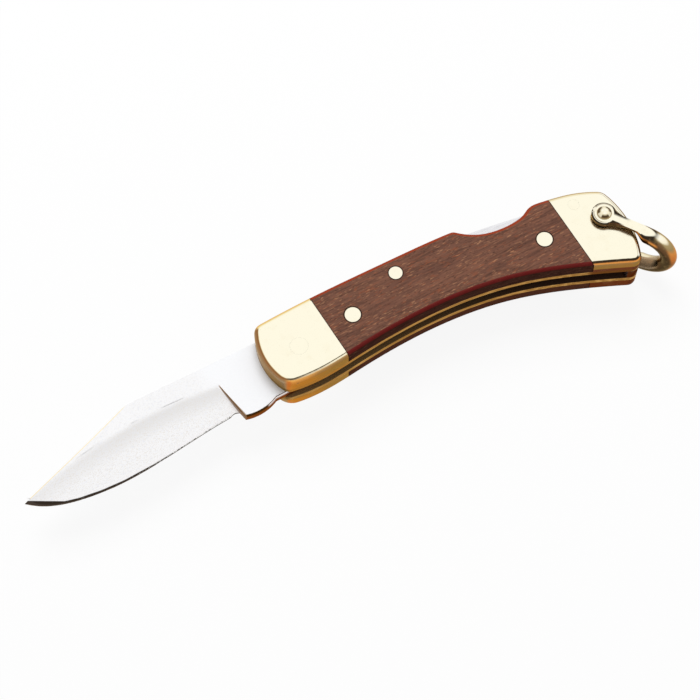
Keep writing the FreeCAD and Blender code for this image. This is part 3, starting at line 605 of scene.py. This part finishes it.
def satinSteel(name):
    look = bladeLook
    made = newFinish(name)
    across, aside, rise = made.normal()
    upright = abs(rise)
    along, up, out = made.fromPoint(pivot)
    under = made.heightAt(look["grindLine"], along) - up
    sand = made.noise(**look["sand"]["noise"])
    offBack = made.fade(aside, *look["backTurn"])

    # the hollow, its painted grey shade band, and the plain ricasso behind the plunge, brighter from its own
    # polish and from painted light against the bolster's shadow
    topX, topY = look["plungeTop"]
    fromPlunge = along - topX - (topY - up) * look["plungeLean"]
    ahead = made.fade(fromPlunge, *look["plungeSoft"])
    ground = made.step(under, *look["groundFrom"]) * ahead
    least, most = look["bandShare"]
    depth = least + made.step(along, *look["bandFull"]) * (most - least)
    colour = made.mix(ground * made.fade(under, *look["bandEnd"]) * depth, look["flat"], look["band"])
    share = look["sand"]["share"] + ground * look["sand"]["ground"]
    colour = made.mix(made.step(sand, *look["sand"]["at"]) * share, colour, look["sand"]["colour"])
    colour = made.stain(colour, made.noise(**look["tint"]["noise"]), look["tint"])
    plain = made.step(fromPlunge, *look["plainFrom"]) * (1 - ground)
    colour = made.mix(plain * look["plainShare"], colour, look["ricasso"])

    # walls, all painted reflections: a brown kick with a dark top, a painted glint beside the bolster, brown
    # walls, steel spine
    kickTop = made.mix(made.step(along, *look["glintFrom"]), look["kickTop"], look["glint"])
    kickTop = made.mix(made.step(out, *look["kickRim"]), kickTop, look["kickTop"])
    kick = made.mix(made.step(out, *look["kickTopFrom"]), look["kick"], kickTop)
    kick = made.mix(ahead, kick, look["wedge"])
    wall = made.mix(made.step(-aside, *look["bellyTurn"]), look["wall"], kick)
    wall = made.mix(made.step(aside, *look["backTurn"]), wall, look["spine"])
    onLine = made.fade(abs(under), *look["lineWidth"]) * ahead * offBack
    steep = made.fade(upright, *look["steepUpright"]) * (1 - onLine)
    colour = made.mix(steep, colour, wall)

    # a painted yellow highlight along the hollow clip
    tipX, tipY = look["tip"]
    slope = math.radians(look["clipSlope"])
    length = look["clipLength"]
    run = (along - tipX) * math.cos(slope) + (up - tipY) * math.sin(slope)
    sag = run * (length - run) * (4 * look["clipHollow"] / length ** 2)
    below = (along - tipX) * math.sin(slope) - (up - tipY) * math.cos(slope) - sag
    rim = made.fade(below, *look["clipWidth"]) * made.fade(along, *look["clipEnd"])
    rim = rim * made.step(upright, *look["clipUpright"])
    colour = made.mix(rim * look["clipShare"], colour, look["clip"])

    # the dark wedge of the point and the honed line that leads to it, painted dark reflection, and a painted
    # tan shade line along the plunge
    wedge = made.fade(overWedge(along, up), *look["wedgeWidth"]) * made.fade(along, *look["wedgeEnd"])
    keen = up - made.heightAt(look["edgeLine"], along)
    least, most = look["honedWidth"]
    width = least + made.step(-along, *look["honedWiden"]) * (most - least)
    nicks = made.noise(**look["nicks"]) + made.step(along, *look["heel"]) * look["heelNicks"]
    honed = made.fade(keen - width, *look["honedSoft"]) * made.fade(along, *look["honedEnd"])
    wedge = wedge.orMore(honed * made.fade(nicks, *look["nickAt"])) * (1 - steep) * offBack
    gap = abs(fromPlunge + look["plungeShift"]) - (topY - up) * look["plungeWiden"]
    plunge = made.fade(gap, *look["plungeWidth"]) * made.step(topY - up, *look["plungeFrom"])
    colour = made.mix(plunge * look["plungeShare"], colour, look["plunge"])
    colour = made.mix(wedge, colour, look["wedge"])

    # the hollow is shaded flatter than it is, so that its faces don't show; its shade is painted as the grey
    # band instead
    ease = made.step(upright, *look["easeUpright"]) * look["ease"] * (1 - onLine) + onLine
    side = out / abs(out)
    eased = made.node("ShaderNodeCombineXYZ", None,
                      {0: across * (1 - ease), 1: aside * (1 - ease), 2: rise * (1 - ease) + side * ease})
    eased = made.node("ShaderNodeVectorTransform",
                      {"vector_type": "NORMAL", "convert_from": "OBJECT", "convert_to": "WORLD"}, {0: eased})
    height = sand + made.noise(**look["scratches"]) * look["scratchHeight"]
    bump = made.bump(height, look["bumpStrength"], look["bumpDepth"] * mm, eased)
    rough = look["rough"] + sand * look["sandRough"] + ground * look["groundRough"]
    rough = rough + wedge * look["wedgeRough"]
    polish = (steep + wedge + plain * look["ricassoPolish"]).orLess(1.0)
    return made.surface(Base_Color=colour, Metallic=look["metal"] + polish * (1 - look["metal"]),
                        Roughness=rough, Normal=bump, Specular_Tint=colour4(look["grazing"]))


# Honed edge: a dark mirror that breaks up towards the heel; the darkness is a painted reflection
honedLook = {
    "dark": (0.060, 0.045, 0.034), "bright": (0.80, 0.79, 0.77), "heel": (-44.0, -16.0), "heelNicks": 0.32,
    "nickAt": (0.66, 0.78), "pointEnd": (-51.5, -50.5), "dull": 0.7, "rough": 0.28, "nickRough": 0.1,
    "pointRough": 0.15, "nicks": {"scale": 2.6, "detail": 3.0, "rough": 0.7},
}


def honedSteel(name):
    look = honedLook
    made = newFinish(name)
    along, up, _ = made.fromPoint(pivot)
    nicks = made.noise(**look["nicks"])
    broken = made.step(nicks + made.step(along, *look["heel"]) * look["heelNicks"], *look["nickAt"])
    # painted dark reflection, broken by nicks that grow towards the heel
    colour = made.mix(broken, look["dark"], look["bright"])
    over = made.step(overWedge(along, up), *bladeLook["wedgeWidth"]) * made.fade(along, *look["pointEnd"])
    colour = made.mix(over, colour, bladeLook["flat"])
    return made.surface(Base_Color=colour, Metallic=1 - over * look["dull"],
                        Roughness=look["rough"] + nicks * look["nickRough"] + over * look["pointRough"])


# Bar steel: brushed along its length, with a painted dark brown reflection underneath
barLook = {
    "top": (0.88, 0.875, 0.895), "streak": (0.66, 0.65, 0.67), "under": (0.10, 0.045, 0.028),
    "grazing": (0.50, 0.34, 0.22), "streakAt": (0.42, 0.72), "underTurn": (-0.2, 0.3),
    "underUpright": (0.90, 0.98), "rough": 0.28, "brushRough": 0.16,
    "brush": {"scale": 2.0, "detail": 4.0, "rough": 0.7, "stretch": (0.25, 6.0, 8.0)},
}


def brushedSteel(name):
    look = barLook
    made = newFinish(name)
    _, north, rise = made.facing()
    brush = made.noise(**look["brush"])
    colour = made.mix(made.step(brush, *look["streakAt"]), look["top"], look["streak"])
    # painted reflection: dark brown on the walls facing the belly side
    under = made.fade(north, *look["underTurn"]) * made.fade(abs(rise), *look["underUpright"])
    colour = made.mix(under, colour, look["under"])
    return made.surface(Base_Color=colour, Metallic=1.0, Roughness=look["rough"] + brush * look["brushRough"],
                        Specular_Tint=colour4(look["grazing"]))


finishes = {
    "bolster_brass": polishedBrass("polishedBrass"),
    "liner_brass": linerBrass("linerBrass"),
    "rosewood": rosewood("rosewood"),
    "blade_steel": satinSteel("satinSteel"),
    "bar_steel": brushedSteel("brushedSteel"),
    "bail_brass": bailBrass("bailBrass"),
}
finishes["pin_brass"] = finishes["bolster_brass"]
finishes["spring_steel"] = finishes["bar_steel"]
honedFinish = honedSteel("honedSteel")
headFinish = domeBrass("domeBrass")
print("finishes made:", len(finishes))


def only(piece):                             # nothing else selected
    if bpy.context.object and bpy.context.object.mode != "OBJECT":
        bpy.ops.object.mode_set(mode="OBJECT")
    bpy.ops.object.select_all(action="DESELECT")
    piece.select_set(True)
    bpy.context.view_layer.objects.active = piece


copyShape = {"doubles": 0.001, "sameFlat": 0.2, "level": 0.99999, "bevelSteps": 2, "sharp": 55}


def takeCopy(nodeName, pieceName):           # a CAD node's shape as a merged mesh of its own
    only(frame["nodes"][nodeName])
    bpy.ops.object.duplicate()
    piece = bpy.context.object
    piece.name = pieceName
    piece.parent = None
    del piece["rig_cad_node"]
    bpy.ops.object.mode_set(mode="EDIT")
    bpy.ops.mesh.select_all(action="SELECT")
    bpy.ops.mesh.remove_doubles(threshold=copyShape["doubles"] * mm)
    bpy.ops.mesh.dissolve_limited(angle_limit=math.radians(copyShape["sameFlat"]))
    bpy.ops.object.mode_set(mode="OBJECT")
    return piece


def applied(piece, kind, **settings):
    only(piece)
    modifier = piece.modifiers.new(kind.lower(), kind)
    for key, value in settings.items():
        setattr(modifier, key, value)
    bpy.ops.object.modifier_apply(modifier=modifier.name)


def smooth(piece, angle):                    # flat sides keep their own normals
    only(piece)
    bpy.ops.object.shade_smooth_by_angle(angle=math.radians(angle))
    for face in piece.data.polygons:
        face.select = abs(face.normal.z) > copyShape["level"]
    bpy.ops.object.mode_set(mode="EDIT")
    bpy.ops.mesh.mod_weighted_strength(set=True, face_strength="STRONG")
    bpy.ops.object.mode_set(mode="OBJECT")
    applied(piece, "WEIGHTED_NORMAL", keep_sharp=True, use_face_influence=True)


def breakEdges(piece, width):                # the fine bevel that hand finishing leaves
    applied(piece, "BEVEL", width=width * mm, segments=copyShape["bevelSteps"], limit_method="ANGLE",
            angle_limit=math.radians(copyShape["sharp"]), use_clamp_overlap=False)


slotOf = {part["node"]: part["material_slot"] for part in frame["record"]["subparts"]}
bodyOf = {node: body for body, nodes in frame["record"]["behaviour"]["bodies"].items() for node in nodes}


def place(piece, nodeName, finish=None, bend=None):      # rides and looks as its CAD node does; with bend, it is baked where it stands and rides nothing
    slotName = slotOf[nodeName]
    body = bodyOf[nodeName]
    piece.data.materials.clear()
    piece.data.materials.append(finish or finishes[slotName])
    if bend:
        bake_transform(piece)
    else:
        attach(piece, body)
    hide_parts(nodeName)


def camel(nodeName):
    first, *rest = nodeName.split("_")
    return first + "".join(word.title() for word in rest)


# Handle and bar: CAD shapes with broken edges, but pins ground flush with the brass
handleShape = {"crease": 32,
               "edges": {"scale": 0.05, "liner": 0.05, "rivet": 0.07, "bar": 0.08, "spacer": 0.05}}
madeBelow = ("blade", "bail", "bail_pin", "lock_spring")
for nodeName in frame["nodes"]:
    if nodeName in madeBelow:
        continue
    kind = nodeName.split("_")[-1]
    piece = takeCopy(nodeName, camel(nodeName))
    if kind in handleShape["edges"]:
        breakEdges(piece, handleShape["edges"][kind])
    smooth(piece, handleShape["crease"])
    place(piece, nodeName)
print("handle dressed")

# Leaf spring, held at the spacer: its mesh is baked where it stands and rides no body
springShape = {"edge": 0.05, "crease": 32}
spring = takeCopy("lock_spring", "lockSpring")
breakEdges(spring, springShape["edge"])
smooth(spring, springShape["crease"])
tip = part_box("lock_spring")[0]
root = Vector((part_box("rear_spacer")[0].x, tip.y, tip.z))
place(spring, "lock_spring", bend=("lock_bar", root, tip))
print("spring dressed")

# Blade: a soft grind line, a crisp plunge, and the honed bevel with a finish of its own
bladeShape = {"spine": 0.07, "crease": 8, "bevel": (0.86, 0.957), "below": -1.8, "ahead": -15.0}
blade = takeCopy("blade", "clipBlade")
breakEdges(blade, bladeShape["spine"])
smooth(blade, bladeShape["crease"])
place(blade, "blade")
blade.data.materials.append(honedFinish)
least, most = bladeShape["bevel"]
for face in blade.data.polygons:
    spot = (face.center - pivot) / mm
    steep = least < abs(face.normal.z) < most
    if steep and spot.y < bladeShape["below"] and spot.x < bladeShape["ahead"]:
        face.material_index = 1
print("blade dressed")

# Bail and its peened pin
bailShape = {"crease": 40, "pinCrease": 32}
bail = takeCopy("bail", "bailLoop")
smooth(bail, bailShape["crease"])
place(bail, "bail")
bailRivet = takeCopy("bail_pin", "bailRivet")
smooth(bailRivet, bailShape["pinCrease"])
place(bailRivet, "bail_pin", headFinish)
print("bail dressed")


# Floor, light and camera
floorLook = {"size": 4.0, "matte": (0.86, 0.86, 0.86), "white": (1.0, 1.0, 1.0), "seenWhite": 0.90}
bpy.ops.object.select_all(action="DESELECT")
bpy.ops.mesh.primitive_plane_add(size=floorLook["size"])
floor = bpy.context.object
floor.name = "floor"


def seenDirectly(made):                      # camera, mirror and glass rays
    path = made.node("ShaderNodeLightPath").socket.node.outputs
    rays = [Val(made, path[name]) for name in ("Is Camera Ray", "Is Glossy Ray", "Is Transmission Ray")]
    return made.node("ShaderNodeClamp", None, {0: rays[0] + rays[1] + rays[2]})


def paleFloor(name):
    made = newFinish(name)
    matte = made.node("ShaderNodeBsdfDiffuse", None, {"Color": colour4(floorLook["matte"])})
    white = made.node("ShaderNodeEmission", None, {"Color": colour4(floorLook["white"]), "Strength": 1.0})
    share = seenDirectly(made) * floorLook["seenWhite"]
    shown = made.node("ShaderNodeMixShader", None, {0: share, 1: matte, 2: white})
    made.node("ShaderNodeOutputMaterial", None, {"Surface": shown})
    return made.owner


floor.data.materials.append(paleFloor("paleFloor"))

skyLook = {"white": (1.0, 1.0, 1.0), "ambient": 0.45}
sky = Finish(bpy.data.worlds.new("studio"))
bpy.context.scene.world = sky.owner
strength = skyLook["ambient"] + seenDirectly(sky) * (1.0 - skyLook["ambient"])
light = sky.node("ShaderNodeBackground", None, {"Color": colour4(skyLook["white"]), "Strength": strength})
sky.node("ShaderNodeOutputWorld", None, {"Surface": light})

lampLook = {"toLamp": (0.15, 0.55, 0.82), "away": 0.7, "size": 0.45, "watts": 4.0}
toLamp = Vector(lampLook["toLamp"]).normalized()
bpy.ops.object.light_add(type="AREA", location=toLamp * lampLook["away"])
lamp = bpy.context.object
lamp.name = "backSoftbox"
lamp.rotation_euler = toLamp.to_track_quat("Z", "Y").to_euler()
lamp.data.size = lampLook["size"]
lamp.data.energy = lampLook["watts"]
lamp.visible_glossy = False

cameraLook = {"aim": (8.50, -2.86), "azimuth": -28.0, "elevation": 66.0, "distance": 342.3, "lens": 100.0,
              "sensor": 36.0, "nearest": 10.0}
aim = pivot + Vector((*cameraLook["aim"], 0.0)) * mm
turn = math.radians(cameraLook["azimuth"])
rise = math.radians(cameraLook["elevation"])
toCamera = Vector((math.sin(turn) * math.cos(rise), -math.cos(turn) * math.cos(rise), math.sin(rise)))
bpy.ops.object.camera_add(location=aim + toCamera * cameraLook["distance"] * mm)
camera = bpy.context.object
camera.rotation_euler = toCamera.to_track_quat("Z", "Y").to_euler()
camera.data.lens = cameraLook["lens"]
camera.data.sensor_width = cameraLook["sensor"]
camera.data.clip_start = cameraLook["nearest"] * mm
bpy.context.scene.camera = camera
bpy.context.scene.view_settings.view_transform = "Standard"
print("floor, light and camera set")
